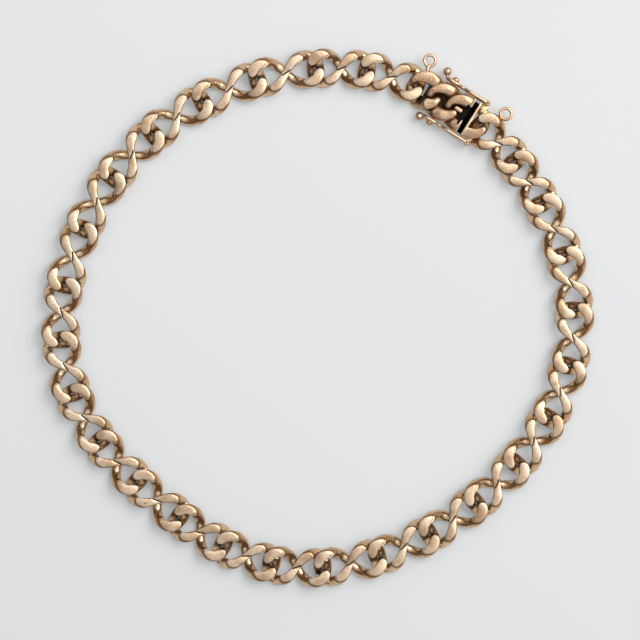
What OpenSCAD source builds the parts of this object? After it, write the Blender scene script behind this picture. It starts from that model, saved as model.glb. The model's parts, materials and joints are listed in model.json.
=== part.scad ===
// Curb bracelet of twin links, closed by a box clasp with two side latches.
// It lies flat in a closed loop: +Z is up, and the loop's centre is at the origin, at table height.
// A link's own frame, and the clasp's, has +X along the chain, clockwise round the loop, and +Y outwards.

/* [Chain] */
// Average pitch of the twin links, from knot to knot
link_pitch = 6.88; // [6.8:0.02:8.4]
// Width of the chain, across a link
chain_width = 4.9; // [4.6:0.1:6]
// Width of the wire at the ends of a link, where the links pull on each other
end_wire = 1.05; // [0.8:0.05:1.2]
// Width of the wire at the sides of a link
side_wire = 1.2; // [0.8:0.05:1.4]
// Height of the wire, before its faces are ground
wire_height = 1; // [0.8:0.05:1.1]
// Depth that is ground off the high strands, on both faces of the chain
face_cut = 0.24; // [0.1:0.02:0.3]
// Gap between two links along the chain, where they pull on each other
knot_gap = 0.1; // [0.06:0.02:0.2]
// Gap between the strands of two links, where one lies over the other
strand_gap = 0.48; // [0.44:0.02:0.6]
// Gap between the two strands in the middle of a twin link, filled with solder on the real one
waist_gap = 0.1; // [0.08:0.02:0.2]

/* [Clasp box] */
// Length of the hollow body, from its back wall to its mouth
box_length = 5.85; // [5:0.05:7]
// Width of the hollow body between the sides of the curb rings
box_width = 4.1; // [3.6:0.1:4.6]
// Height of the hollow body above its flat underside
box_height = 1.2; // [1.1:0.05:1.5]
// Thickness of the body's walls
box_wall = 0.22; // [0.16:0.02:0.3]
// Length of the curb rings that dress the clasp
ring_length = 4.9; // [4.6:0.1:5.4]
// Width of those rings' wire at their sides
ring_wire = 1.35; // [1.1:0.05:1.5]
// Pitch of those rings
ring_pitch = 2.65; // [2.4:0.05:3]
// Distance from the mouth back to the centre of the first ring
ring_setback = 0.62; // [0.4:0.02:1]
// Height of the rings' underside above the flat underside
ring_lift = 0.15; // [0.05:0.05:0.3]
// Thickness of the rim round the mouth
rim_thickness = 0.35; // [0.25:0.05:0.5]
// Width of the rim and of the tongue's end plate
rim_width = 4.7; // [4.4:0.1:4.8]
// Depth of the rim and the end plate below the ground faces
rim_drop = 0.06; // [0.02:0.02:0.2]

/* [Clasp tongue] */
// Gap between the box's mouth and the end plate
mouth_gap = 0.65; // [0.1:0.05:0.9]
// Thickness of the end plate
plate_thickness = 0.3; // [0.2:0.05:0.4]
// Clearance between the end plate and the end of the first link
plate_clearance = 0.12; // [0.05:0.01:0.3]
// Width of the folded leaf
leaf_width = 2.8; // [2:0.1:3]
// Thickness of the leaf's metal
leaf_thickness = 0.15; // [0.1:0.05:0.2]
// Clearance between the leaf and the inside of the box
leaf_clearance = 0.08; // [0.05:0.01:0.1]
// Length of the push button
button_length = 1.17; // [0.8:0.05:1.5]
// Width of the push button
button_width = 0.6; // [0.4:0.05:0.8]
// Distance from the mouth back to the button's middle
button_setback = 1.2; // [0.9:0.05:1.6]
// Sideways place of the button and its slot
button_offset = 0.15; // [-0.5:0.05:0.5]
// Clearance round the button in its slot
button_clearance = 0.13; // [0.08:0.01:0.2]
// Depth of the button's top below the ground faces
button_drop = 0.08; // [0.02:0.02:0.2]
// Length of the wide part of the slot, at the mouth
thumb_cut_length = 0.85; // [0.4:0.05:1]
// Width of the wide part of the slot
thumb_cut_width = 1.5; // [1.2:0.05:2]

/* [Side latches] */
// Distance of the latches from the clasp's middle line
latch_offset = 2.75; // [2.7:0.01:3]
// Distance of the outer latch's hinge past the mouth
outer_hinge = 1.45; // [1.4:0.05:2]
// Distance of the inner latch's hinge past the mouth
inner_hinge = 1.85; // [1.4:0.05:2]
// Radius of the latch wire
latch_wire = 0.2; // [0.14:0.01:0.2]
// Height of a latch between its rails' middle lines
latch_height = 1.48; // [1.3:0.02:1.6]
// Distance from the mouth back to a latch's closed end
latch_reach = 4.45; // [4.2:0.05:5]
// Distance from the mouth back to a latch's waist
latch_waist = 2.05; // [1.6:0.05:2.4]
// Gap left between the rails at the waist
waist_opening = 0.1; // [0.04:0.02:0.3]
// Radius of the ball to lift a latch by
ball_radius = 0.55; // [0.4:0.05:0.6]
// Distance from a latch's closed end back to its ball
ball_reach = 0.55; // [0.4:0.05:0.8]
// Sideways bend of the outer latch's ball
outer_ball_bend = 0.72; // [0.3:0.02:0.9]
// Sideways bend of the inner latch's ball
inner_ball_bend = 0.36; // [0.3:0.02:0.9]
// Radius of the hinge pins
pin_radius = 0.19; // [0.18:0.01:0.22]
// Running clearance of a pin in its knuckle
pin_clearance = 0.06; // [0.03:0.01:0.08]
// Wall of a hinge knuckle
knuckle_wall = 0.12; // [0.1:0.01:0.15]
// Gap between a knuckle's ends and the latch's rails
knuckle_gap = 0.06; // [0.03:0.01:0.1]
// Distance from the mouth back to the studs
stud_setback = 3.4; // [3.2:0.05:3.6]
// Radius of a stud's neck
stud_neck = 0.22; // [0.15:0.01:0.3]
// Radius of a stud's round head
stud_head = 0.45; // [0.35:0.01:0.48]
// Gap between a latch and a stud's head
stud_gap = 0.08; // [0.04:0.01:0.15]

/* [Eyelets] */
// Radius of the hole in an eyelet
eyelet_hole = 0.48; // [0.35:0.01:0.6]
// Thickness of an eyelet's wire
eyelet_wire = 0.42; // [0.3:0.02:0.5]
// Distance from the mouth back to the box's eyelet
box_eyelet_setback = 7.4; // [7:0.05:8]
// Distance of the box's eyelet from the clasp's middle line
box_eyelet_offset = 3.4; // [3.3:0.05:3.8]
// Height of the box's eyelet above the chain's middle plane
box_eyelet_rise = 0.4; // [0.3:0.02:0.5]
// Height of the first link's eyelet above the chain's middle plane
link_eyelet_rise = 0.5; // [0.4:0.02:0.6]
// Sink of the first link's eyelet into the link's side
link_eyelet_sink = 0.15; // [0.05:0.05:0.3]

/* [Hidden] */
// Clock angle at which the box's eye holds the last link, clockwise from twelve
clasp_clock = 23;
// Distance of the chain from the middle of its loop at each half hour of a clock face, clockwise from twelve.
// The loop is scaled as a whole so that the chain just closes.
route_radii = [
    30.7, 31.1, 31.0, 31.0, 31.0, 31.4, 31.8, 31.6, 30.9, 30.3, 30.2, 30.6,
    31.1, 31.1, 30.3, 30.2, 31.1, 31.9, 31.8, 31.2, 30.8, 30.5, 30.2, 30.3
];
// The links were bent by hand and differ a little. Columns of the runs below, clockwise from the clasp:
// how many links, and their pitch as a share of link_pitch
RUN_LINKS = 0;
RUN_PITCH = 1;
link_runs = [[2, 0.90], [9, 1.015], [3, 0.94], [5, 0.995], [6, 1.07], [2, 0.93]];
// Segments of a twin link's wire, of a clasp ring's wire and of half a latch's closed end
twin_segments = 32;
ring_segments = 16;
latch_end_segments = 6;
latch_rail_segments = 9;
// Corners of the wire's six-sided section, as shares of its half width and half height
wire_corners = [[1, 0], [0.5, 1], [-0.5, 1], [-1, 0], [-0.5, -1], [0.5, -1]];
// Turns of a link's strand, in degrees from a knot to the middle crossing: where it stands fully high or low,
// where the high strand dives to pass under the crossing, and where the low strand comes up to pass over it
knot_turn = 22.5;
dive_turns = [48, 78];
climb_turns = [36, 54];
waist_turns = [60, 90];
// Share of a second wave that gives a clasp ring the same steep start
ring_climb = 0.05;
// Overlap of pieces that are soldered together
weld = 0.1;
$fn = 48;

gold = "#c99a6c";
dark_gold = "#8a6238";

link_pitches = [for (run = link_runs, i = [1:run[RUN_LINKS]]) run[RUN_PITCH] * link_pitch];
link_count = len(link_pitches);

// Heights of the strands above and below the chain's middle plane
strand_rise = (wire_height + strand_gap) / 2;
waist_rise = (wire_height + waist_gap) / 2;
face_height = strand_rise + wire_height / 2 - face_cut;
chain_thickness = 2 * face_height;
side_reach = (chain_width - side_wire) / 2;
ring_reach = (chain_width - ring_wire) / 2;

// Places along the clasp, measured from the box's mouth
eye_centre = -ring_setback - 2 * ring_pitch;
eye_knot = eye_centre - ring_length / 2 + end_wire + knot_gap / 2;
plate_start = mouth_gap;
plate_end = plate_start + plate_thickness;
tongue_knot = plate_end + plate_clearance + end_wire + knot_gap / 2;
tongue_ring_end = tongue_knot + knot_gap / 2 + end_wire;
tongue_ring_centre = tongue_ring_end - ring_length / 2;
clasp_span = tongue_knot - eye_knot;

cavity_floor = -face_height + box_wall;
cavity_top = -face_height + box_height - box_wall;
latch_half = latch_height / 2;
knuckle_bore = pin_radius + pin_clearance;
knuckle_radius = knuckle_bore + knuckle_wall;
knuckle_half = latch_half - latch_wire - knuckle_gap;
pin_half = latch_half + latch_wire + 0.02;
eyelet_outer = eyelet_hole + eyelet_wire;

function link_name(k) = str("link_", k < 10 ? "0" : "", k);

// Route of the chain

// Smooth radius of the loop at a clock angle, by a curve through the chosen radii
function route_radius(clock) =
    let (
        count = len(route_radii),
        place = clock * count / 360,
        i = floor(place),
        f = place - i,
        a = route_radii[(i + count - 1) % count],
        b = route_radii[i % count],
        c = route_radii[(i + 1) % count],
        d = route_radii[(i + 2) % count]
    )
    b + f / 2 * (c - a + f * (2 * a - 5 * b + 4 * c - d + f * (3 * (b - c) + d - a)));

function route_point(clock) = route_radius(clock) * [sin(clock), cos(clock)];

// Rows of [distance walked, clock angle] round the unscaled loop, starting at the clasp's eye
walk_step = 2;
route_walk = [
    for (
        walked = 0, clock = clasp_clock;
        clock <= clasp_clock + 360;
        walked = walked + norm(route_point(clock + walk_step) - route_point(clock)),
        clock = clock + walk_step
    )
    [walked, clock]
];
route_length = route_walk[len(route_walk) - 1][0];

// Length of the loop's curve over a straight piece that spans it
function arc_over(chord) = chord * (1 + pow(2 * PI * chord / route_length, 2) / 24);

spans = concat([clasp_span], link_pitches);
stations = [
    for (walked = 0, i = 0; i <= len(spans); walked = walked + arc_over(spans[i % len(spans)]), i = i + 1)
        walked
];
route_scale = stations[len(spans)] / route_length;

// Where two pieces of the chain hold each other: knot 0 is the box's eye, knot 1 the tongue's ring
knots = [
    for (walked = stations) route_scale * route_point(lookup(walked / route_scale, route_walk))
];

// Centre and heading of the chain's piece between two knots
function piece_centre(i) = (knots[i] + knots[i + 1]) / 2;
function piece_heading(i) =
    let (way = knots[i + 1] - knots[i])
    atan2(way[1], way[0]);

function turned(p, angle) = [p[0] * cos(angle) - p[1] * sin(angle), p[0] * sin(angle) + p[1] * cos(angle)];

// The links' outline sets the loop's centre
outline = [
    for (k = [1:link_count], ring = twin_rings(link_pitches[k - 1]), p = ring)
        piece_centre(k) + turned(p, piece_heading(k))
];
outline_x = [for (p = outline) p[0]];
outline_y = [for (p = outline) p[1]];
loop_centre = [min(outline_x) + max(outline_x), min(outline_y) + max(outline_y)] / 2;

// Wires

// Six-sided section of a wire, ground flat where it stands above or below the limits
function section(centre, heading, side, width, height, low, high) =
    let (
        across = side / norm(side),
        rise = cross(heading, across),
        up = rise / norm(rise)
    )
    [for (corner = wire_corners)
        let (p = centre + across * corner[0] * width / 2 + up * corner[1] * height / 2)
        [p[0], p[1], max(low, min(high, p[2]))]];

function wire_width(side, share) = end_wire + (side - end_wire) * share;

// Smooth step from 0 to 1 between two turns
function eased(turn, turns) =
    let (share = max(0, min(1, (turn - turns[0]) / (turns[1] - turns[0]))))
    share * share * (3 - 2 * share);

// Height of a twin link's strand. One half of the figure 8 leaves both knots high and dives under the crossing,
// the other leaves them low and comes up to pass over it, so that each ring shows two long ground faces.
function twin_height(turn) =
    let (
        whole = (turn + 360) % 360,
        half = whole % 180,
        place = min(half, 180 - half),
        leave = strand_rise * sin(min(90, place / knot_turn * 90))
    )
    whole < 180
        ? leave - (strand_rise + waist_rise) * eased(place, dive_turns)
        : 2 * strand_rise * eased(place, climb_turns) - leave
            - (strand_rise - waist_rise) * eased(place, waist_turns);

// Middle line of a twin link: a figure 8, high at the upper left and lower right of each ring
function twin_point(turn, half_length) =
    let (round_end = (4 * side_reach - half_length) / 8)
    [
        -(half_length - round_end) * cos(turn) - round_end * cos(3 * turn),
        side_reach * sin(2 * turn),
        twin_height(turn)
    ];

function twin_rings(pitch) =
    let (half_length = (pitch + end_wire + knot_gap) / 2)
    [for (i = [0:twin_segments - 1])
        let (
            turn = i * 360 / twin_segments,
            heading = twin_point(turn + 1, half_length) - twin_point(turn - 1, half_length)
        )
        section(
            twin_point(turn, half_length), heading, [-heading[1], heading[0], 0],
            wire_width(side_wire, pow(sin(2 * turn), 2)), wire_height, -face_height, face_height
        )];

// Middle line of a single curb ring
function ring_point(turn) = [
    -(ring_length - end_wire) / 2 * cos(turn),
    ring_reach * sin(turn),
    strand_rise * ((1 + ring_climb) * sin(2 * turn) + ring_climb * sin(6 * turn))
];

function ring_rings(low) =
    [for (i = [0:ring_segments - 1])
        let (
            turn = i * 360 / ring_segments,
            heading = ring_point(turn + 1) - ring_point(turn - 1)
        )
        section(
            ring_point(turn), heading, [-heading[1], heading[0], 0],
            wire_width(ring_wire, pow(sin(turn), 2)), wire_height, low, face_height
        )];

// One tube through its sections: a closed ring, or a wire with two flat ends
module tube(rings, closed = true) {
    count = len(rings);
    sides = len(rings[0]);
    points = [for (ring = rings) each ring];
    faces = [
        for (i = [0:count - (closed ? 1 : 2)], j = [0:sides - 1])
            let (
                near = i * sides,
                far = ((i + 1) % count) * sides,
                next = (j + 1) % sides
            )
            each [[near + j, far + next, near + next], [near + j, far + j, far + next]]
    ];
    last = (count - 1) * sides;
    caps = [
        for (j = [1:sides - 2])
            each [[0, j, j + 1], [last, last + j + 1, last + j]]
    ];
    polyhedron(points, closed ? faces : concat(faces, caps));
}

// A round rod between two points
module rod(start, end, radius) {
    way = end - start;
    translate(start)
        rotate([0, acos(way[2] / norm(way)), atan2(way[1], way[0])])
            cylinder(r = radius, h = norm(way));
}

// A small ring that stands flat, with a true round hole
module eyelet() {
    land = eyelet_wire / 4;
    bevel = eyelet_wire / 4;
    half = eyelet_wire / 2;
    rotate_extrude()
        polygon([
            [eyelet_hole, -land], [eyelet_hole + bevel, -half],
            [eyelet_outer - bevel, -half], [eyelet_outer, -land],
            [eyelet_outer, land], [eyelet_outer - bevel, half],
            [eyelet_hole + bevel, half], [eyelet_hole, land]
        ]);
}

// Puts a piece of the chain at its place in the loop
module in_loop(i) {
    centre = piece_centre(i) - loop_centre;
    translate([centre[0], centre[1], face_height])
        rotate([0, 0, piece_heading(i)])
            children();
}

// Puts a piece of the clasp at its place, with the box's mouth at x = 0
module in_clasp() {
    in_loop(0)
        translate([-(eye_knot + tongue_knot) / 2, 0, 0])
            children();
}

// Links

module chain_link(k) {
    pitch = link_pitches[k - 1];
    top = twin_point(45, (pitch + end_wire + knot_gap) / 2);
    color(gold)
        in_loop(k) {
            tube(twin_rings(pitch));
            if (k == 1)
                translate([top[0], chain_width / 2 + eyelet_outer - link_eyelet_sink, link_eyelet_rise])
                    eyelet();
        }
}

// Clasp

// The slot for the button, with a wide part at the mouth to lay a thumbnail in
module button_slot() {
    width = button_width + 2 * button_clearance;
    length = button_setback + button_length / 2 + button_clearance;
    translate([-length, button_offset - width / 2, cavity_top - weld])
        cube([length + weld, width, face_height - cavity_top + 2 * weld]);
    translate([-thumb_cut_length, button_offset - width / 2 - weld, cavity_top - weld])
        cube([thumb_cut_length + weld, thumb_cut_width, face_height - cavity_top + 2 * weld]);
}

module stud(side) {
    translate([-stud_setback, side * (box_width / 2 - weld), 0])
        rotate([-side * 90, 0, 0]) {
            reach = latch_offset + latch_wire + stud_gap - box_width / 2 + weld;
            cylinder(r = stud_neck, h = reach + weld);
            translate([0, 0, reach])
                rotate_extrude()
                    intersection() {
                        circle(r = stud_head);
                        square(stud_head);
                    }
        }
}

module box_eyelet() {
    centre = [-box_eyelet_setback, box_eyelet_offset, box_eyelet_rise];
    seat = [eye_centre - ring_length / 5, ring_reach, box_eyelet_rise];
    way = (seat - centre) / norm(seat - centre);
    translate(centre)
        eyelet();
    rod(centre + way * (eyelet_hole + eyelet_wire / 2), seat, eyelet_wire / 2);
}

module clasp_box() {
    color(gold)
        in_clasp()
            difference() {
                union() {
                    for (i = [0:2])
                        translate([-ring_setback - i * ring_pitch, 0, 0])
                            tube(ring_rings(-face_height + ring_lift));
                    translate([-box_length, -box_width / 2, -face_height])
                        cube([box_length, box_width, box_height]);
                    translate([-rim_thickness, -rim_width / 2, -face_height + rim_drop])
                        cube([rim_thickness, rim_width, chain_thickness - 2 * rim_drop]);
                    stud(1);
                    stud(-1);
                    box_eyelet();
                }
                translate([-box_length + box_wall, -box_width / 2 + box_wall, cavity_floor])
                    cube([box_length, box_width - 2 * box_wall, cavity_top - cavity_floor]);
                button_slot();
                translate([0, -chain_width, -chain_thickness])
                    cube([ring_length, 2 * chain_width, 2 * chain_thickness]);
            }
}

// The leaf goes in along the floor of the box, folds back at its end and carries the button on top
module folded_leaf() {
    low = cavity_floor + leaf_clearance;
    high = cavity_top - leaf_clearance - leaf_thickness;
    back = -box_length + box_wall + 2 * leaf_clearance;
    front = -button_setback + button_length / 2;
    translate([back, -leaf_width / 2, low])
        cube([plate_start - back + weld, leaf_width, leaf_thickness]);
    translate([back, -leaf_width / 2, low])
        cube([leaf_thickness, leaf_width, high - low + leaf_thickness]);
    translate([back, -leaf_width / 2, high])
        cube([front - back, leaf_width, leaf_thickness]);
    translate([-button_setback, button_offset, high])
        linear_extrude(face_height - button_drop - high) {
            square([button_length - button_width, button_width], center = true);
            for (end = [-1, 1])
                translate([end * (button_length - button_width) / 2, 0])
                    circle(d = button_width);
        }
}

// Where a latch's pin stands, for the outer side (1) or the inner side (-1)
function hinge_place(side) = [side > 0 ? outer_hinge : inner_hinge, side * latch_offset, 0];

// The pad that carries a knuckle sits on the tongue's ring, low on the outer side and high on the inner side
module knuckle(side) {
    place = hinge_place(side);
    pad_depth = latch_offset - knuckle_bore - ring_reach;
    pad_height = 0.6 * knuckle_half;
    translate([place[0], place[1], -knuckle_half])
        cylinder(r = knuckle_radius, h = 2 * knuckle_half);
    translate([
        place[0] - knuckle_radius,
        side > 0 ? ring_reach : -ring_reach - pad_depth,
        side > 0 ? -knuckle_half : knuckle_half - pad_height
    ])
        cube([2 * knuckle_radius, pad_depth, pad_height]);
}

module clasp_tongue() {
    color(gold)
        in_clasp()
            difference() {
                union() {
                    difference() {
                        translate([tongue_ring_centre, 0, 0])
                            tube(ring_rings(-face_height));
                        translate([plate_start + plate_thickness / 2 - ring_length, -chain_width, -chain_thickness])
                            cube([ring_length, 2 * chain_width, 2 * chain_thickness]);
                    }
                    translate([plate_start, -rim_width / 2, -face_height + rim_drop])
                        cube([plate_thickness, rim_width, chain_thickness - 2 * rim_drop]);
                    folded_leaf();
                    knuckle(1);
                    knuckle(-1);
                }
                for (side = [-1, 1])
                    translate(hinge_place(side) - [0, 0, chain_thickness])
                        cylinder(r = knuckle_bore, h = 2 * chain_thickness);
            }
}

// Latches

// Half height of a latch at a place along the clasp: full at both loops, pinched at the waist
function latch_rail(x) =
    let (pinched = waist_opening / 2 + latch_wire, spread = 1.1)
    pinched + (latch_half - pinched) * pow(sin(min(90, abs(x + latch_waist) / spread * 90)), 2);

// Figure-8 wire, upright along the clasp, from one end of the hinge pin to the other
module latch_loop(hinge) {
    turn_start = -latch_reach + latch_half;
    rail = [for (i = [0:latch_rail_segments])
        let (x = hinge + (turn_start - hinge) * i / latch_rail_segments)
        [x, latch_rail(x)]];
    end = [for (i = [1:latch_end_segments - 1])
        let (turn = i * 180 / latch_end_segments)
        [turn_start - latch_half * sin(turn), latch_half * cos(turn)]];
    back = [for (i = [latch_rail_segments:-1:0]) [rail[i][0], -rail[i][1]]];
    line = concat(rail, end, back);
    last = len(line) - 1;
    tube([for (i = [0:last])
        let (
            before = line[max(i - 1, 0)],
            here = line[i],
            after = line[min(i + 1, last)],
            way = after - before
        )
        section(
            [here[0], 0, here[1]], [way[0], 0, way[1]], [0, 1, 0],
            2 * latch_wire, 2 * latch_wire, -face_height, face_height
        )], closed = false);
}

module safety_latch(side) {
    place = hinge_place(side);
    bend = side * (side > 0 ? outer_ball_bend : inner_ball_bend);
    ball = [-latch_reach - ball_reach, place[1] + bend, 0];
    color(gold)
        in_clasp() {
            translate([0, place[1], 0])
                latch_loop(place[0]);
            translate([place[0], place[1], -pin_half])
                cylinder(r = pin_radius, h = 2 * pin_half);
            rod([-latch_reach, place[1], 0], ball, latch_wire);
            translate(ball)
                sphere(r = ball_radius);
        }
}

for (k = [1:link_count])
    chain_link(k);
clasp_box();
clasp_tongue();
safety_latch(1);  // outer_latch
safety_latch(-1);  // inner_latch
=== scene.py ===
# %% [markdown]
# # A gold curb bracelet with a box clasp
#
# The bracelet is a closed loop of curb links. Wire rings are twisted so that they lie flat, joined
# through each other, and the whole chain is then ground on both faces. The grinding leaves two long
# bright faces on each ring. Every second joint is soldered, so two rings make one link that looks like a
# figure 8.
#
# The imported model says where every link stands. This lesson gives each of its solids a finer shape and a
# finish.

# %% The frame
import bpy
import bmesh
import json
import math
from mathutils import Matrix, Vector


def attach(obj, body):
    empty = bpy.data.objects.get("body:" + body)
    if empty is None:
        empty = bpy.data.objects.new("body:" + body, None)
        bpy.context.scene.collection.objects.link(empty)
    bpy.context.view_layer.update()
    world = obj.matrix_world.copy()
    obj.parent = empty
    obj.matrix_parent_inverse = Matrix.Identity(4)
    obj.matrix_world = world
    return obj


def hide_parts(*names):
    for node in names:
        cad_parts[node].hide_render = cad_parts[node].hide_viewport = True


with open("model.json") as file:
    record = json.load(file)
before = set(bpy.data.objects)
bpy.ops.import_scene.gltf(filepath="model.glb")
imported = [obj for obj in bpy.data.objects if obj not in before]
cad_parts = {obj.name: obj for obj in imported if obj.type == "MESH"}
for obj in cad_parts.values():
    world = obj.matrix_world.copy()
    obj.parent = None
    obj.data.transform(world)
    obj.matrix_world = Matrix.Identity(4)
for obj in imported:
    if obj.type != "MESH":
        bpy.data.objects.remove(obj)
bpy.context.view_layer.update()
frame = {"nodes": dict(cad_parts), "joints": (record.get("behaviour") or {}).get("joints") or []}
MM = 0.001

# %% [markdown]
# ## Camera
#
# The bracelet lies on a table and is seen from straight above. A long lens far away keeps the links at
# the edge of the picture from leaning, as they don't lean in a catalogue picture. The lens is worked out
# from the width that the picture shows at the height of the chain.

# %% Camera
VIEW_WIDTH = 79.36 * MM
VIEW_CENTRE = Vector((0.31 * MM, -0.24 * MM))
CHAIN_MIDDLE = 1.0 * MM
camera_data = bpy.data.cameras.new("camera")
camera_data.sensor_width = 36
camera_height = 0.5
camera_data.lens = camera_data.sensor_width * camera_height / VIEW_WIDTH
camera = bpy.data.objects.new("camera", camera_data)
camera.location = (VIEW_CENTRE.x, VIEW_CENTRE.y, CHAIN_MIDDLE + camera_height)
bpy.context.scene.collection.objects.link(camera)
bpy.context.scene.camera = camera
bpy.context.scene.view_settings.view_transform = "Standard"
print("lens", round(camera_data.lens, 1), "mm")

# %% [markdown]
# ## Nodes as sums
#
# Geometry trees and materials are both made of nodes. Adding and linking each Math node by hand hides the
# formula, so a small class wraps a socket and lets Python's own operators add the nodes. Every other node
# comes from one method, which sets what the node is before it fills its sockets.


# %% A bench for node trees
class Signal:
    def __init__(self, bench, socket):
        self.bench = bench
        self.socket = socket

    def math(self, operation, *others):
        return self.bench.node("ShaderNodeMath", {"operation": operation}, dict(enumerate((self, *others))))

    def __add__(self, other):
        return self.math("ADD", other)

    def __sub__(self, other):
        return self.math("SUBTRACT", other)

    def __mul__(self, other):
        return self.math("MULTIPLY", other)

    def __truediv__(self, other):
        return self.math("DIVIDE", other)

    def __pow__(self, other):
        return self.math("POWER", other)

    def __neg__(self):
        return self.math("MULTIPLY", -1)

    def __rsub__(self, other):
        return -self + other

    def __rtruediv__(self, other):
        return self.math("POWER", -1) * other

    __radd__ = __add__
    __rmul__ = __mul__

    def sin(self):
        return self.math("SINE")

    def cos(self):
        return self.math("COSINE")

    def root(self):
        return self.math("SQRT")

    def size(self):
        return self.math("ABSOLUTE")

    def least(self, other):
        return self.math("MINIMUM", other)

    def most(self, other):
        return self.math("MAXIMUM", other)

    def within(self, low, high):
        return self.most(low).least(high)

    def eased(self, start, end):
        return self.ramp(start, end, "SMOOTHSTEP")

    def ramp(self, start, end, kind="LINEAR"):
        sockets = {0: self, 1: start, 2: end, 3: 0, 4: 1}
        return self.bench.node("ShaderNodeMapRange", {"interpolation_type": kind}, sockets)


class Bench:
    def __init__(self, tree):
        self.tree = tree

    def node(self, kind, settings, sockets, output=0):
        made = self.tree.nodes.new(kind)
        for name, value in settings.items():
            setattr(made, name, value)
        for name, value in sockets.items():
            if isinstance(value, Signal):
                self.tree.links.new(value.socket, made.inputs[name])
            else:
                made.inputs[name].default_value = value
        return Signal(self, made.outputs[output])

    def parts(self, vector):
        made = self.tree.nodes.new("ShaderNodeSeparateXYZ")
        self.tree.links.new(vector.socket, made.inputs[0])
        return [Signal(self, made.outputs[axis]) for axis in range(3)]

    def vector(self, x, y, z):
        return self.node("ShaderNodeCombineXYZ", {}, {0: x, 1: y, 2: z})


print("node bench ready")

# %% [markdown]
# ## Old gold
#
# Worn rose gold is never one colour. The ground faces are pinkish tan and covered in fine scratches, the
# round parts between them are a deeper golden brown, and some grime sits in the knots. Shade is painted
# into the colour as well: the knots, a thin line under the faces and the sides are darkened as painted
# shade, and the lower wires are painted lighter, as painted light. A photograph of metal could be laid on
# the links, but noise that follows the object does it at any size. Attributes that the links' own tree
# stores say which part of the wire a point is on.


# %% Colours of the gold
def colour(*parts):
    """Linear light from the red, green and blue that a picture program shows, each from 0 to 255."""
    return tuple(((part / 255 + 0.055) / 1.055) ** 2.4 for part in parts)


FACE_GOLD = colour(221, 194, 165)
TAN_GOLD = colour(183, 150, 118)
MOSS_GOLD = colour(186, 158, 96)
# Painted light: a pale gold laid on the tongue's half ring where it lies in shade.
PAINTED_LIGHT_MOSS = colour(226, 206, 150)
ROUND_GOLD = colour(224, 187, 147)
DEEP_GOLD = colour(198, 150, 104)
# Painted light: a pale gold that lightens the links' lower wires.
PAINTED_LIGHT_LOW_GOLD = colour(238, 205, 166)
PINK_GOLD = colour(232, 194, 160)
DULL_GOLD = colour(158, 132, 112)
# Dark brown for the links' painted shade, and for their grime, seams and stains.
SHADE_AND_GRIME = colour(40, 26, 18)
# Near black for the clasp's painted shade in hollows, gaps and pin ends, and for its mottled patina.
CLASP_SHADE_AND_PATINA = colour(14, 14, 20)
print("face gold in linear light", [round(part, 3) for part in FACE_GOLD])


# %% Helpers for materials
SCRATCH_DEPTH = 0.05 * MM


def mixed(bench, factor, first, second):
    sockets = {0: factor}
    for place, value in ((6, first), (7, second)):
        sockets[place] = value if isinstance(value, Signal) else (*value, 1)
    return bench.node("ShaderNodeMix", {"data_type": "RGBA"}, sockets, output=2)


def noise(bench, where, scale, detail=2.0, rough=0.5):
    return bench.node(
        "ShaderNodeTexNoise", {}, {"Vector": where, "Scale": scale, "Detail": detail, "Roughness": rough}
    )


def stretched(bench, where, x, y, z, turn=0.0):
    return bench.node(
        "ShaderNodeMapping", {}, {"Vector": where, "Rotation": (0, 0, turn), "Scale": (x, y, z)}
    )


def start_material(name):
    material = bpy.data.materials.new(name)
    material.use_nodes = True
    material.node_tree.nodes.clear()
    bench = Bench(material.node_tree)
    where = bench.node("ShaderNodeTexCoord", {}, {}, output=3)
    return material, bench, where


def distance(x, y):
    return (x * x + y * y).root()


def scratches(bench, where):
    """Fine lines in three directions, as height from 0 to 1."""
    lines = 1.0
    for turn, scale in ((0.3, 900), (1.5, 1100), (2.5, 1000)):
        streak = noise(bench, stretched(bench, where, 14, 1, 1, turn), scale, 1.0)
        thin = (streak - 0.5).size().eased(0.0, 0.035)
        lines = thin * lines
    return lines


def facing_up(bench):
    return bench.parts(bench.node("ShaderNodeNewGeometry", {}, {}, output=1))[2]


def finish_gold(bench, material, base, roughness, height):
    bump = bench.node("ShaderNodeBump", {}, {"Strength": 0.4, "Distance": SCRATCH_DEPTH, "Height": height})
    shader = bench.node(
        "ShaderNodeBsdfPrincipled", {},
        {"Base Color": base, "Metallic": 1.0, "Roughness": roughness, "Normal": bump}
    )
    out = material.node_tree.nodes.new("ShaderNodeOutputMaterial")
    material.node_tree.links.new(shader.socket, out.inputs["Surface"])
    return material


print("material helpers ready, scratches", SCRATCH_DEPTH, "m deep")

# %% The links' gold, with places in millimetres
SEAM_TURN = math.radians(19)
STAINS = [(-21.39, -22.93, 0.1), (0.12, -31.5, 0.42)]
KNOT_PLACE = 3.3


def seam_frame(x, y):
    """Distance from the seam's line, and distance along it from the middle of the link."""
    line = (y * math.cos(SEAM_TURN) - x * math.sin(SEAM_TURN)).size()
    along = (x * math.cos(SEAM_TURN) + y * math.sin(SEAM_TURN)).size()
    return line, along


def stains(bench, where):
    """Two small dark stains, each at its own place on the chain."""
    x, y, _ = bench.parts(where)
    ragged = noise(bench, where, 4000, 2.0)
    spots = 0.0
    for spot_x, spot_y, radius in STAINS:
        far = distance(x - spot_x * MM, y - spot_y * MM)
        spot = 1 - (far / (radius * MM) + ragged * 0.8).eased(1.0, 1.5)
        spots = spot + spots
    return spots.least(1)


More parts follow.
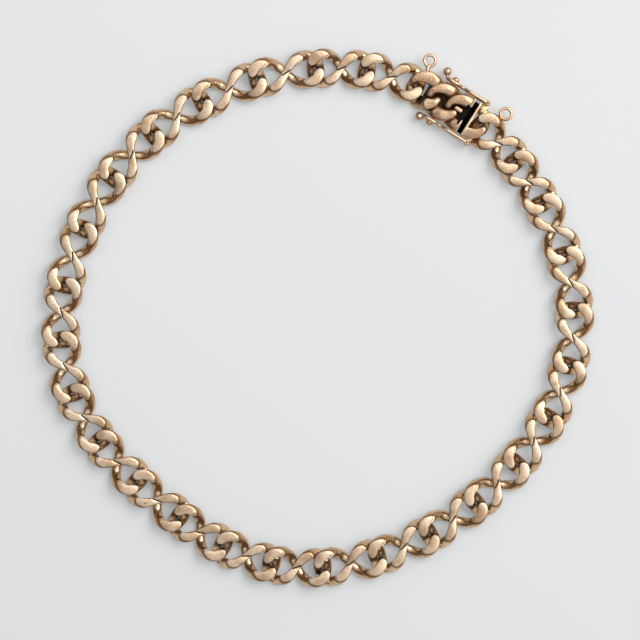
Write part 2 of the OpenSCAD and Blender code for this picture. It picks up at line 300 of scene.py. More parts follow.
def link_gold():
    material, bench, where = start_material("link_gold")
    ground = bench.node("ShaderNodeAttribute", {"attribute_name": "ground"}, {}, output=2)
    place = bench.node("ShaderNodeAttribute", {"attribute_name": "place"}, {}, output=1)
    x, y, z = bench.parts(place)
    cloud = noise(bench, where, 420, 3.0)
    grain = noise(bench, where, 6000, 3.0, 0.6)
    up = facing_up(bench)
    # Painted shade: sides that turn away from the sky are darkened in the colour.
    side = 1 - up.eased(-0.1, 0.6)
    # Painted shade: the lower parts of the wire are darkened a little.
    low = 1 - z.eased(-0.7, 0.6)
    # Painted shade with some grime: the knots, where the links meet, are darkened.
    knot = 1 - distance(x.size() - KNOT_PLACE, y).eased(0.5, 1.4)
    face = ground.eased(0.8, 0.95)
    away = 1 - face
    # Painted shade: a thin dark line just under the edge of each ground face.
    edge = ground.eased(0.2, 0.75) * away * (1 - up.eased(0.7, 0.98))
    # Painted shade from the sides, the low parts and the knots, with grime in the knots and random grain.
    shade_and_tarnish = (side * 0.85 + low * 0.08 + knot * 0.38) * away + knot * 0.12 + (grain - 0.5) * 0.25
    line, along = seam_frame(x, y)
    seam = (1 - line.eased(0.04, 0.13)) * (1 - along.eased(0.52, 0.72)) * z.eased(0.1, 0.4)
    stain = stains(bench, where) * z.eased(-0.2, 0.1)
    # One dark colour takes the painted shade together with the seam, the stains and the grime.
    dark = (shade_and_tarnish.eased(0.3, 1.04) * 0.89).most(edge * 0.7).most(seam).most(stain)
    round_gold = mixed(bench, cloud.eased(0.38, 0.62), DEEP_GOLD, ROUND_GOLD)
    # Painted light: the lower wires are painted lighter, to stand in for light that doesn't reach them.
    round_gold = mixed(bench, (1 - z.eased(-0.4, 0.7)) * 0.75, round_gold, PAINTED_LIGHT_LOW_GOLD)
    face_gold = mixed(bench, cloud.eased(0.3, 0.6), TAN_GOLD, FACE_GOLD)
    base = mixed(bench, dark, mixed(bench, face, round_gold, face_gold), SHADE_AND_GRIME)
    lines = scratches(bench, where)
    roughness = (dark * 0.3 + grain * 0.14 + face * 0.06 + 0.14 + (1 - lines) * 0.1).within(0.12, 0.8)
    height = lines * 0.1 + grain * 0.06 + cloud * 0.7 - dark * 0.3
    return finish_gold(bench, material, base, roughness, height)


LINK_GOLD = link_gold()
print(LINK_GOLD.name, "has", len(LINK_GOLD.node_tree.nodes), "nodes")

# %% [markdown]
# ## The twin link
#
# A twin link is one wire bent to a figure 8 and soldered where it crosses. Modelling it by hand would
# mean doing it 27 times, because the links differ a little in length. Its middle line follows a rule,
# though, so a Geometry Nodes tree bends a flat grid along it: one side of the grid runs along the wire,
# the other round it. Where the wire stands above the ground face, its top is pressed flat, and the grid's
# own lines follow the edge of that face.

# %% Sizes of the chain, in millimetres
CHAIN = {
    "Width": 4.87, "End Wire": 1.09, "Side Wire": 1.3, "Wire Height": 1.0, "Knot Gap": 0.1,
    "Strand Gap": 0.48, "Waist Gap": 0.1, "Face Height": 1.0, "Crown": 0.11, "Brow": 0.08,
}
PACKED_END_WIRE = 1.05
print("chain", CHAIN["Width"], "mm wide, of wire up to", CHAIN["Side Wire"], "mm")

# %% How high each strand of the figure 8 stands
KNOT_CLIMB = 16
SOLDER_LIFT = 0.6
TIP_FALL = 0.12


def between(place, start, end):
    """An eased step from 0 to 1 between two places on the wire, in degrees."""
    return place.eased(math.radians(start), math.radians(end))


def from_knot(turn):
    """How far a place on the wire is from the nearer knot, from 0 to 90 degrees, in radians."""
    half = turn.math("FLOORED_MODULO", math.pi)
    return half.least(math.pi - half)


def twin_height(turn, rise, waist):
    """The strand that is high at the knots dives under the crossing. The other comes up to pass over it."""
    whole = turn.math("FLOORED_MODULO", 2 * math.pi)
    place = from_knot(turn)
    leave = rise * (place * (90 / KNOT_CLIMB)).least(math.pi / 2).sin()
    past = ((place - math.radians(28)) / math.radians(15)).within(0, 1)
    high = leave - (rise + waist) * between(place, 39, 78) - past * past * TIP_FALL
    low = rise * 2 * between(place, 35, 58) - leave
    low = low - between(place, 40, 50) * (1 - between(place, 52, 74)) * TIP_FALL
    low = low - (rise - waist) * (1 - SOLDER_LIFT) * between(place, 60, 90)
    second = whole.math("GREATER_THAN", math.pi)
    return high + (low - high) * second


print("strands climb out of a knot within", KNOT_CLIMB, "degrees")

# %% Pressing the wire's section flat
ARC = 9
FLAT = 9
AROUND = 2 * (ARC + FLAT)
EDGE_PULL = 0.75


def section_turn(bench, share, top, bottom):
    """Angle round the section: right side, top face, left side, bottom face. Lines crowd at the edges."""
    spans = [ARC, FLAT, ARC, FLAT]
    sweeps = [top + bottom, math.pi - top * 2, top + bottom, math.pi - bottom * 2]
    angle = -bottom
    start = 0
    for span, sweep in zip(spans, sweeps):
        end = start + span
        part = share.ramp(start / AROUND, end / AROUND)
        angle = angle + sweep * (part - (part * (2 * math.pi)).sin() * (EDGE_PULL / (2 * math.pi)))
        start = end
    return angle


def asin_within(value):
    return value.within(-1, 1).math("ARCSINE")


print("lines round the wire", AROUND)

# %% The wire's tree
NEARBY = math.radians(0.6)
MERGE_DISTANCE = 0.004


def group_input(tree, name, kind, value=None):
    socket = tree.interface.new_socket(name, in_out="INPUT", socket_type=kind)
    if value is not None:
        socket.default_value = value


def ground_wire(bench, share, middle, ahead, back, wide, high, roll, top_face, bottom_face, brow):
    """Point on the wire's skin, and how much of it is ground face.

    middle, ahead and back are points of the wire's middle line, each a list of x, y and z.
    """
    run = [a - b for a, b in zip(ahead, back)]
    level = distance(run[0], run[1])
    slope = run[2] / level
    tilt = slope * 0.5
    rise = 1 / (tilt * tilt + 1).root()
    lean = tilt * rise * -1
    step = (run[0] / level, run[1] / level)
    half_high = high * 0.5 * rise
    top = asin_within((top_face - middle[2]) / half_high)
    bottom = asin_within((bottom_face + middle[2]) / half_high)
    angle = section_turn(bench, share, top, bottom)
    across = angle.cos()
    up = angle.sin()
    x = middle[0] - step[1] * wide * 0.5 * across + step[0] * lean * high * 0.5 * up
    y = middle[1] + step[0] * wide * 0.5 * across + step[1] * lean * high * 0.5 * up
    z = middle[2] + half_high * up - roll * across * wide * 0.5
    roof, depth = [
        face + (1 - (across / edge.cos().most(0.02)) ** 4).most(0) * brow
        for face, edge in ((top_face, top), (bottom_face, bottom))
    ]
    floor = -depth
    ground = (z - roof).most(floor - z).ramp(-0.3, 0.05)
    return x, y, z.least(roof).most(floor), ground


def wire_tree(name, values, along_count, bend):
    """A tree that bends a flat grid into a closed wire. bend gives its middle line, width and faces."""
    tree = bpy.data.node_groups.new(name, "GeometryNodeTree")
    for label, value in values.items():
        group_input(tree, label, "NodeSocketFloat", value)
    group_input(tree, "Centre", "NodeSocketVector")
    group_input(tree, "Heading", "NodeSocketVector")
    group_input(tree, "Gold", "NodeSocketMaterial")
    tree.interface.new_socket("Geometry", in_out="OUTPUT", socket_type="NodeSocketGeometry")
    bench = Bench(tree)
    inputs = tree.nodes.new("NodeGroupInput")
    size = {socket.name: Signal(bench, socket) for socket in inputs.outputs if socket.name}
    grid = bench.node("GeometryNodeMeshGrid", {}, {0: 1.0, 1: 1.0, 2: along_count + 1, 3: AROUND + 1})
    along, around, _ = bench.parts(bench.node("GeometryNodeInputPosition", {}, {}))
    turn, middle, wide, roll, top_face, bottom_face, groove = bend(size, (along + 0.5) * (2 * math.pi))
    x, y, z, ground = ground_wire(
        bench, around + 0.5, middle(turn), middle(turn + NEARBY), middle(turn - NEARBY), wide,
        size["Wire Height"], roll, top_face, bottom_face, size["Brow"]
    )
    skin = bench.vector(x, y, z - groove(x, y, z))
    shape = bench.node(
        "GeometryNodeStoreNamedAttribute", {"data_type": "FLOAT", "domain": "POINT"},
        {"Geometry": grid, "Name": "ground", "Value": ground}
    )
    shape = bench.node(
        "GeometryNodeStoreNamedAttribute", {"data_type": "FLOAT_VECTOR", "domain": "POINT"},
        {"Geometry": shape, "Name": "place", "Value": skin}
    )
    shape = bench.node("GeometryNodeSetPosition", {}, {"Geometry": shape, "Position": skin})
    shape = bench.node("GeometryNodeMergeByDistance", {}, {"Geometry": shape, "Distance": MERGE_DISTANCE})
    shape = bench.node(
        "GeometryNodeTransform", {},
        {
            "Geometry": shape, "Translation": size["Centre"], "Rotation": size["Heading"],
            "Scale": (MM, MM, MM)
        }
    )
    shape = bench.node("GeometryNodeRealizeInstances", {}, {"Geometry": shape})
    shape = bench.node("GeometryNodeSetMaterial", {}, {"Geometry": shape, "Material": size["Gold"]})
    result = tree.nodes.new("NodeGroupOutput")
    tree.links.new(shape.socket, result.inputs[0])
    return tree


print("points closer than", MERGE_DISTANCE, "mm are merged")

# %% The twin link's tree
USUAL_PITCH = 6.88
CROSSING_WIRE = 1.12
WAIST_WIRE = 0.94
FACE_ROLL = 0.42
MOST_FALL = 2.2
SEAM_DEPTH = 0.12
LINE_PACKING = 0.15
ALONG = 260


def half_sum(first, second):
    return (first + second) * 0.5


def twin_link_bend(size, plain_turn):
    """A figure 8 whose wire is widest at the sides and narrow where it crosses itself."""
    turn = plain_turn + (plain_turn * 2).sin() * LINE_PACKING
    rise = half_sum(size["Wire Height"], size["Strand Gap"])
    waist = half_sum(size["Wire Height"], size["Waist Gap"])
    reach = half_sum(size["Width"], -size["Side Wire"])
    half_length = half_sum(size["Pitch"], size["Knot Gap"] + PACKED_END_WIRE)
    round_end = (reach * 4 - half_length) / 8

    def middle(at):
        x = (half_length - round_end) * at.cos() * -1 - round_end * (at * 3).cos()
        return [x, reach * (at * 2).sin(), twin_height(at, rise, waist)]

    def groove(x, y, z):
        line, along = seam_frame(x, y)
        return (1 - line.eased(0.02, 0.13)) * (1 - along.eased(0.46, 0.7)) * z.eased(0.2, 0.5) * SEAM_DEPTH

    def crowned(first_middle, second_middle, half_span):
        """Height of a ground face, highest at its middle, which is given in degrees for both strands."""
        centre = second * math.radians(second_middle - first_middle) + math.radians(first_middle)
        fall = (place - centre) / math.radians(half_span)
        return size["Face Height"] - size["Brow"] - size["Crown"] * (fall * fall).least(MOST_FALL)

    place = from_knot(turn)
    second = turn.math("GREATER_THAN", math.pi)
    wide = size["End Wire"] + (size["Side Wire"] - size["End Wire"]) * between(place, 2, 20)
    at_crossing = CROSSING_WIRE - second * (CROSSING_WIRE - WAIST_WIRE)
    narrowing = place.eased(math.radians(66) - second * math.radians(6), math.radians(88))
    wide = wide - (size["Side Wire"] - at_crossing) * narrowing
    facing = turn.cos().math("SIGN")
    first_roll = between(place, 26, 46) * (1 - between(place, 50, 66))
    second_roll = between(place, 41, 49) * (1 - between(place, 50, 72))
    roll = facing * (first_roll + (second_roll - first_roll) * second) * FACE_ROLL
    return turn, middle, wide, roll, crowned(27, 70, 23), crowned(90, 18, 22), groove


TWIN_LINK = wire_tree("twin_link", {"Pitch": USUAL_PITCH, **CHAIN}, ALONG, twin_link_bend)
print("twin link tree has", len(TWIN_LINK.nodes), "nodes")


# %% From a tree to a plain mesh
def outward(mesh, touching=0.000001):
    """Merges what still touches and turns every face outwards."""
    shape = bmesh.new()
    shape.from_mesh(mesh)
    bmesh.ops.remove_doubles(shape, verts=shape.verts, dist=touching)
    bmesh.ops.recalc_face_normals(shape, faces=shape.faces)
    for face in shape.faces:
        face.smooth = True
    shape.to_mesh(mesh)
    shape.free()


def grown(name, tree, values):
    start = bpy.data.meshes.new(name)
    piece = bpy.data.objects.new(name, start)
    bpy.context.scene.collection.objects.link(piece)
    modifier = piece.modifiers.new("grown", "NODES")
    modifier.node_group = tree
    for item in tree.interface.items_tree:
        if item.name in values and item.in_out == "INPUT":
            modifier[item.identifier] = values[item.name]
    graph = bpy.context.evaluated_depsgraph_get()
    mesh = bpy.data.meshes.new_from_object(
        piece.evaluated_get(graph), preserve_all_data_layers=True, depsgraph=graph
    )
    piece.modifiers.clear()
    piece.data = mesh
    mesh.name = name
    outward(mesh)
    return piece


print("trees can be grown into plain meshes")

# %% [markdown]
# ## Where the links stand
#
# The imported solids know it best. A link's solid is the same when turned half round, so the mean of its
# corners is its centre, and its longest direction is its heading. The first link also carries an eyelet,
# so its place comes from its neighbours: it spans from the tongue's knot to the second link's knot. The
# two latch hinges give the clasp's own frame.

# %% Clasp frame from the latch hinges
OUTER_HINGE = Vector((1.45, 2.75))
INNER_HINGE = Vector((1.85, -2.75))
TONGUE_KNOT = 2.17
LINK_EYELET = Vector((23.3405, 25.2841))
hinges = {joint["name"]: Vector(joint["pos_m"][:2]) / MM for joint in frame["joints"]}
hinge_way = hinges["outer_latch_hinge"] - hinges["inner_latch_hinge"]
flat_way = OUTER_HINGE - INNER_HINGE
clasp_heading = math.atan2(hinge_way.y, hinge_way.x) - math.atan2(flat_way.y, flat_way.x)
clasp_turn = Matrix.Rotation(clasp_heading, 2)
clasp_mouth = hinges["outer_latch_hinge"] - clasp_turn @ OUTER_HINGE
tongue_knot = clasp_mouth + clasp_turn @ Vector((TONGUE_KNOT, 0))
print("clasp heading", round(math.degrees(clasp_heading), 2), "mouth", [round(v, 3) for v in clasp_mouth])


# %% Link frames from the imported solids
def link_frame(node):
    corners = {tuple(round(c / MM, 3) for c in vertex.co) for vertex in frame["nodes"][node].data.vertices}
    flat = [Vector(corner[:2]) for corner in corners]
    centre = sum(flat, Vector((0, 0))) / len(flat)
    spread_x = sum((p.x - centre.x) ** 2 for p in flat)
    spread_y = sum((p.y - centre.y) ** 2 for p in flat)
    spread_xy = sum((p.x - centre.x) * (p.y - centre.y) for p in flat)
    heading = 0.5 * math.atan2(2 * spread_xy, spread_x - spread_y)
    way = Vector((math.cos(heading), math.sin(heading)))
    if way.x * centre.y - way.y * centre.x < 0:
        way = -way
        heading += math.pi
    reach = [(p - centre).dot(way) for p in flat]
    pitch = max(reach) - min(reach) - 2 * PACKED_END_WIRE - CHAIN["Knot Gap"]
    return centre, heading, pitch


link_names = sorted(name for name in frame["nodes"] if name.startswith("link_"))
link_frames = {name: link_frame(name) for name in link_names[1:]}
second_centre, second_heading, second_pitch = link_frames["link_02"]
second_way = Vector((math.cos(second_heading), math.sin(second_heading)))
first_end = second_centre - second_way * second_pitch / 2
first_way = first_end - tongue_knot
link_frames["link_01"] = (
    (first_end + tongue_knot) / 2, math.atan2(first_way.y, first_way.x), first_way.length
)
print("pitches", [round(link_frames[name][2], 2) for name in link_names])

# %% The links
links = {}
for name in link_names:
    centre, heading, pitch = link_frames[name]
    links[name] = grown(
        "twin_" + name, TWIN_LINK,
        {
            "Pitch": pitch, "Centre": (centre.x * MM, centre.y * MM, CHAIN_MIDDLE),
            "Heading": (0, 0, heading), "Gold": LINK_GOLD, **CHAIN
        }
    )
    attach(links[name], "bracelet")
    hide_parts(name)
print("links", len(links), "of", len(links["link_05"].data.polygons), "faces")

# %% [markdown]
# ## The clasp
#
# A box clasp hides its mechanism under the look of the chain. A goldsmith lays three curb rings over a
# thin sheet box and solders them on, closes the box with a wall at its mouth, and saws a slot into the
# top for the button. The tongue is a strip folded back on itself: it springs up behind the wall, and the
# button presses it down again. Half a ring covers the tongue's end plate. Each half is built here the
# same way, from rings, blocks and turned parts that are melted into one skin with Boolean modifiers,
# since solder leaves no gaps.
#
# Everything of the clasp is built lying straight, with the box's mouth at zero, and moved to its place at
# the end.

# %% The clasp's gold
def clasp_gold():
    material, bench, where = start_material("clasp_gold")
    mouth_back = Matrix.Rotation(-clasp_heading, 2) @ clasp_mouth
    straight = bench.node(
        "ShaderNodeMapping", {},
        {
            "Vector": where, "Location": (-mouth_back.x, -mouth_back.y, -CHAIN_MIDDLE / MM),
            "Rotation": (0, 0, -clasp_heading), "Scale": (1 / MM, 1 / MM, 1 / MM)
        }
    )
    x, y, z = bench.parts(straight)
    up = facing_up(bench)
    cloud = noise(bench, where, 500, 3.0)
    grain = noise(bench, where, 6000, 3.0, 0.6)
    off_middle = y.size()
    # Painted shade with some tarnish: the box's hollows between and under the rings are darkened almost to
    # black.
    recess_shade_and_tarnish = (0.94 + x.eased(-2.3, -1.8) * 0.02) * x.eased(-6.6, -6.2) * (1 - x.eased(0.6, 0.7))
    recess_shade_and_tarnish = recess_shade_and_tarnish * (1 - z.eased(0.12, 0.3)) * (1 - off_middle.eased(1.3, 2.0))
    # Painted shade: the gap at the mouth, between the box and the end plate, is painted black.
    mouth = x.eased(-0.02, 0.02) * (1 - x.eased(0.64, 0.66))
    mouth = mouth * (1 - off_middle.eased(2.3, 2.34)) * (1 - z.eased(0.9, 0.93))
    face = up.eased(0.9, 0.98) * z.eased(0.7, 0.85)
    inner = (1 - z.eased(0.4, 0.85)) * (1 - off_middle.eased(1.0, 1.7)) * (1 - x.eased(0.9, 1.0))
    # Painted light: the low part of the tongue's half ring is painted pale.
    half_ring_light = x.eased(0.95, 1.05) * (1 - z.eased(0.2, 0.75))
    dull = x.eased(0.95, 1.1) * (1 - y.eased(-1.4, -0.9)) * face * (1 - off_middle.eased(2.4, 2.5))
    patina = noise(bench, where, 1800, 3.0, 0.6).eased(0.5, 0.75) * face * 0.28
    behind = x.eased(0.9, 1.0) + (1 - x.eased(-6.6, -5.8)) * 0.85
    # Painted shade: small dark spots in the hollow ends of the hinge pins.
    pin_end_shade = 0.0
    for hinge in (OUTER_HINGE, INNER_HINGE):
        pin_end_shade = (1 - distance(x - hinge.x, y - hinge.y).eased(0.09, 0.15)) + pin_end_shade
    # Painted shade: sides turned away from the sky and low parts are darkened, with some random grain.
    grain_and_shade = (1 - up.eased(0.3, 0.97)) * 0.6 + (1 - z.eased(0.1, 0.92)) * 0.75 + (grain - 0.5) * 0.4
    shade_and_grain_off_faces = (1 - face) * (1 - off_middle.eased(1.75, 2.1) * 0.75) * (1 - behind) * grain_and_shade.within(0, 0.85)
    dark = recess_shade_and_tarnish.most(mouth).most(pin_end_shade * 0.9).most(patina).most(shade_and_grain_off_faces)
    clean = mixed(bench, cloud.eased(0.38, 0.62), DEEP_GOLD, ROUND_GOLD)
    clean = mixed(bench, inner * 0.7, clean, MOSS_GOLD)
    clean = mixed(bench, half_ring_light * 0.92, clean, PAINTED_LIGHT_MOSS)
    clean = mixed(bench, face, clean, mixed(bench, cloud.eased(0.4, 0.75), TAN_GOLD, FACE_GOLD))
    clean = mixed(bench, dull * 0.85, clean, DULL_GOLD)
    # Painted highlight, with some wear: a thin pale line along the edges of the ground faces.
    worn_edge_highlight = up.eased(0.8, 0.9) * (1 - up.eased(0.93, 0.98)) * z.eased(0.45, 0.7)
    clean = mixed(bench, worn_edge_highlight * 0.8, clean, PINK_GOLD)
    clean = mixed(bench, off_middle.eased(2.3, 2.6), clean, PINK_GOLD)
    # Painted shade and patina darken the clean gold.
    base = mixed(bench, dark, clean, CLASP_SHADE_AND_PATINA)
    lines = scratches(bench, where)
    roughness = (dark * 0.4 + grain * 0.14 + dull * 0.2 + 0.16 + (1 - lines) * 0.1).within(0.12, 0.8)
    height = lines * 0.1 + grain * 0.06 + cloud * 0.7
    return finish_gold(bench, material, base, roughness, height)


CLASP_GOLD = clasp_gold()
print(CLASP_GOLD.name, "has", len(CLASP_GOLD.node_tree.nodes), "nodes")

# %% The clasp's curb rings
CLASP_RING = {
    "Ring Length": 4.9, "Lift": 0.0, "Early Outside": 0.0, "Early Inside": 0.0, "Start": math.radians(10),
    "Top": 0.74, **CHAIN, "Side Wire": 1.7,
}
STRAND_FALL = 0.33
RING_ALONG = 180


def clasp_ring_bend(size, turn):
    """A single curb ring, high where it goes out at the left and comes in at the right."""
    rise = half_sum(size["Wire Height"], size["Strand Gap"])
    reach = half_sum(size["Width"], -size["Side Wire"])
    half_length = half_sum(size["Ring Length"], -PACKED_END_WIRE)

    def middle(at):
        half = (at + size["Start"]).math("FLOORED_MODULO", math.pi)
        inner = at.math("GREATER_THAN", math.pi)
        late = half + size["Early Outside"] * (1 - inner) + size["Early Inside"] * inner
        high = between(half, 0, 19) * (1 - between(late, 116, 162))
        tip = (half - math.radians(72)) / math.radians(60)
        height = (size["Top"] + rise) * high - rise - tip * tip * high * STRAND_FALL
        return [half_length * at.cos() * -1, reach * at.sin(), height]

    def groove(x, y, z):
        return 0.0

    side = turn.sin()
    wide = size["End Wire"] + (size["Side Wire"] - size["End Wire"]) * side * side
    top_face = size["Face Height"] - size["Brow"]
    return turn, middle, wide, 0.0, top_face, top_face - size["Lift"], groove


def curb_ring(place, lift, start=10, outside=0, inside=0, wire=1.7, top=0.74):
    """start, outside and inside are in degrees. The last two say how much earlier a strand sinks there."""
    return grown("curb_ring", CURB_RING, {
        **CLASP_RING, "Lift": lift, "Start": math.radians(start), "Early Outside": math.radians(outside),
        "Early Inside": math.radians(inside), "Side Wire": wire, "Top": top, "Centre": (place * MM, 0, 0),
        "Gold": CLASP_GOLD,
    })


CURB_RING = wire_tree("clasp_ring", CLASP_RING, RING_ALONG, clasp_ring_bend)
print("clasp ring tree has", len(CURB_RING.nodes), "nodes")


# %% Shapes that a goldsmith solders together
def full_turn(count):
    return [2 * math.pi * step / count for step in range(count)]


def shown(name, mesh):
    piece = bpy.data.objects.new(name, mesh)
    bpy.context.scene.collection.objects.link(piece)
    return piece


def skinned(name, rings, looped=False):
    """A closed skin through rings of points in millimetres."""
    shape = bmesh.new()
    rows = [[shape.verts.new([part * MM for part in point]) for point in ring] for ring in rings]
    pairs = list(zip(rows, rows[1:]))
    if looped:
        pairs.append((rows[-1], rows[0]))
    else:
        shape.faces.new(rows[0])
        shape.faces.new(rows[-1])
    for near, far in pairs:
        for j, corner in enumerate(near):
            k = (j + 1) % len(near)
            shape.faces.new((corner, near[k], far[k], far[j]))
    mesh = bpy.data.meshes.new(name)
    shape.to_mesh(mesh)
    shape.free()
    outward(mesh)
    return shown(name, mesh)


def turned(name, profile, centre, axis, looped=False):
    """A part as if from a lathe. The profile holds pairs of radius and distance along the axis."""
    way = Vector(axis)
    across = way.orthogonal().normalized()
    beside = way.cross(across)
    spokes = [across * math.cos(a) + beside * math.sin(a) for a in full_turn(36)]
    return skinned(name, [
        [Vector(centre) + way * along + spoke * radius for spoke in spokes] for radius, along in profile
    ], looped)


def swept(name, line, radius, side):
    """A round wire along a line. side is square to the whole line."""
    rings = []
    for step, here in enumerate(line):
        way = (line[min(step + 1, len(line) - 1)] - line[max(step - 1, 0)]).normalized()
        up = way.cross(side)
        rings.append([here + (side * math.cos(a) + up * math.sin(a)) * radius for a in full_turn(20)])
    return skinned(name, rings)


def block(name, low, high, rounding=0.0):
    shape = bmesh.new()
    bmesh.ops.create_cube(shape, size=1)
    for vertex in shape.verts:
        vertex.co = [((a + b) / 2 + part * (b - a)) * MM for a, b, part in zip(low, high, vertex.co)]
    if rounding:
        bmesh.ops.bevel(
            shape, geom=shape.edges[:], offset=rounding * MM, segments=4, profile=0.5, affect="EDGES"
        )
    mesh = bpy.data.meshes.new(name)
    shape.to_mesh(mesh)
    shape.free()
    outward(mesh)
    return shown(name, mesh)


def prism(name, outline, low, high):
    return skinned(name, [[(*point, low) for point in outline], [(*point, high) for point in outline]])


print("shapes ready: skins, lathe work, wires, blocks and prisms")

# %% Soldering, and the way to the bracelet
EYELET_RADIUS = 0.69
EYELET_WIRE = 0.2
CREASE = math.radians(40)


def melted(base, operation, others):
    """Joins the others to the base, or takes them away from it."""
    for other in others:
        modifier = base.modifiers.new(other.name, "BOOLEAN")
        modifier.operation = operation
        modifier.solver = "MANIFOLD"
        modifier.material_mode = "TRANSFER"
        modifier.object = other
    graph = bpy.context.evaluated_depsgraph_get()
    mesh = bpy.data.meshes.new_from_object(base.evaluated_get(graph), depsgraph=graph)
    base.modifiers.clear()
    base.data = mesh
    for other in others:
        bpy.data.objects.remove(other)
    return base


def eyelet(centre):
    """A small round wire ring lying flat."""
    profile = [
        (EYELET_RADIUS + EYELET_WIRE * math.cos(a), EYELET_WIRE * math.sin(a)) for a in full_turn(18)
    ]
    return turned("eyelet", profile, centre, (0, 0, 1), looped=True)


def settled(piece, name, body):
    """Moves a straight clasp part to its place in the bracelet and gives it its name, finish and body."""
    piece.data.transform(
        Matrix.Translation((clasp_mouth.x * MM, clasp_mouth.y * MM, CHAIN_MIDDLE))
        @ Matrix.Rotation(clasp_heading, 4, "Z")
    )
    outward(piece.data, 0.00000001)
    piece.data.set_sharp_from_angle(angle=CREASE)
    piece.data.materials.clear()
    piece.data.materials.append(CLASP_GOLD)
    piece.name = "gold_" + name
    piece.data.name = piece.name
    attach(piece, body)
    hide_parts(name)
    print(piece.name, len(piece.data.polygons), "faces")
    return piece


print("clasp parts are creased from", round(math.degrees(CREASE)), "degrees")

# %% [markdown]
# ## The clasp's box
#
# Three rings lie over the box so that the chain's pattern runs on across the clasp. The slot was cut with
# a saw and opened with a file, so its edge is ragged, and the first ring's faces are nicked by it. A thin
# wall is left on both sides of the slot at the mouth. The studs for the latches and the eyelet for a
# safety chain sit on the sides. All of it could be sculpted from one block, but whole rings that are
# half sunk into the box keep the curves of the chain and give the hollows between them for nothing.

# %% Clasp box
RIM_HALF = 2.35
SLOT_EDGE = [
    (-1.85, 0.45), (-1.6, 0.47), (-1.45, 0.6), (-1.2, 0.54), (-0.95, 0.82), (-0.62, 0.74), (-0.5, 1.3),
    (-0.22, 1.42), (-0.22, 1.2), (0.2, 1.2), (0.2, -0.75), (-0.22, -0.78), (-0.22, -1.5), (-0.5, -1.45),
    (-0.55, -1.05), (-0.85, -0.95), (-0.8, -0.6), (-1.15, -0.4), (-1.4, -0.26), (-1.95, -0.25),
]
STUD_PROFILE = [
    (0.22, 0), (0.22, 1.0), (0.26, 1.08), (0.44, 1.09), (0.45, 1.14), (0.43, 1.24), (0.38, 1.34),
    (0.3, 1.43), (0.2, 1.49), (0.1, 1.52), (0.02, 1.53),
]
box = curb_ring(-0.62, 0.15, start=22, top=0.58)
box_parts = [curb_ring(-3.27, 0.15, start=22, top=0.58), curb_ring(-5.92, 0.15, inside=52, top=0.66)]
box_parts.append(block("body", (-5.85, -2.05, -1.0), (0.05, 2.05, 0.1), 0.1))
box_parts.append(block("rim", (-0.24, -RIM_HALF, -0.94), (0.1, RIM_HALF, 0.94), 0.08))
for side in (1, -1):
    box_parts.append(turned("stud", STUD_PROFILE, (-3.4, side * 1.95, 0), (0, side, 0)))
box_parts.append(eyelet((-7.4, 3.4, 0.4)))
box_parts.append(swept(
    "post", [Vector((-7.21, 2.8, 0.4)), Vector((-7.05, 2.3, 0.4)), Vector((-6.88, 1.775, 0.4))], 0.26,
    Vector((0, 0, 1))
))
melted(box, "UNION", box_parts)
melted(box, "DIFFERENCE", [
    block("cavity", (-5.63, -1.83, -0.78), (0.4, 1.83, -0.02)), prism("slot", SLOT_EDGE, -0.12, 1.4),
    block("mouth", (0, -5, -3), (5, 5, 3)),
])
settled(box, "clasp_box", "bracelet")


# %% [markdown]
# ## The clasp's tongue
#
# The end plate closes the box when the tongue is in. Behind it half a curb ring takes the first link of
# the chain. The folded leaf is hidden in the box but for its button, which stands up through the slot
# like a small capsule. The leaf could be one bent strip with thickness, but three thin blocks that
# overlap are easier to read and melt into the same skin. A low step fills the gap in front of the plate,
# and the clasp's gold paints that gap black, as painted shade.

# %% Clasp tongue
def capsule(name, centre, length, width, levels):
    """An upright capsule that rounds off at its top. Each level is a height and a shrink."""
    rings = []
    for height, shrink in levels:
        ring = []
        for angle in full_turn(40):
            end = (length - width) / 2 * (1 if math.cos(angle) > 0 else -1)
            radius = width / 2 - shrink
            x = centre[0] + end + radius * math.cos(angle)
            ring.append((x, centre[1] + radius * math.sin(angle), height))
        rings.append(ring)
    return skinned(name, rings)


BUTTON_LEVELS = [(-0.2, 0.0), (0.72, 0.0), (0.82, 0.02), (0.88, 0.07), (0.915, 0.14), (0.92, 0.22)]
KNUCKLE_PROFILE = [(0.33, -0.48), (0.37, -0.44), (0.37, 0.44), (0.33, 0.48)]
tongue = curb_ring(0.82, 0.0, outside=50, wire=1.4)
melted(tongue, "DIFFERENCE", [block("front", (-4, -4, -3), (0.8, 4, 3))])
tongue_parts = [
    block("plate", (0.65, -RIM_HALF, -0.94), (0.95, RIM_HALF, 0.94), 0.06),
    # A low step in the gap before the plate, painted black there as painted shade.
    block("shoulder", (0.08, -2.2, -0.92), (0.8, 2.2, -0.6), 0.04),
    block("lower_leaf", (-5.47, -1.4, -0.7), (0.8, 1.4, -0.55), 0.03),
    block("fold", (-5.47, -1.4, -0.7), (-5.32, 1.4, -0.1), 0.05),
    block("upper_leaf", (-5.47, -1.4, -0.25), (-0.615, 1.4, -0.1), 0.03),
    capsule("button", (-1.2, 0.15), 1.17, 0.6, BUTTON_LEVELS),
]
bores = []
for side, hinge in ((1, OUTER_HINGE), (-1, INNER_HINGE)):
    tongue_parts.append(turned("knuckle", KNUCKLE_PROFILE, (*hinge, 0), (0, 0, 1)))
    near, far = sorted((side * 1.7, side * 2.5))
    pad_low = -0.48 if side > 0 else 0.19
    tongue_parts.append(block(
        "pad", (hinge.x - 0.35, near, pad_low), (hinge.x + 0.35, far, pad_low + 0.29), 0.04
    ))
    bores.append(turned("bore", [(0.25, -1), (0.25, 1)], (*hinge, 0), (0, 0, 1)))
melted(tongue, "UNION", tongue_parts)
melted(tongue, "DIFFERENCE", bores)
settled(tongue, "clasp_tongue", "bracelet")

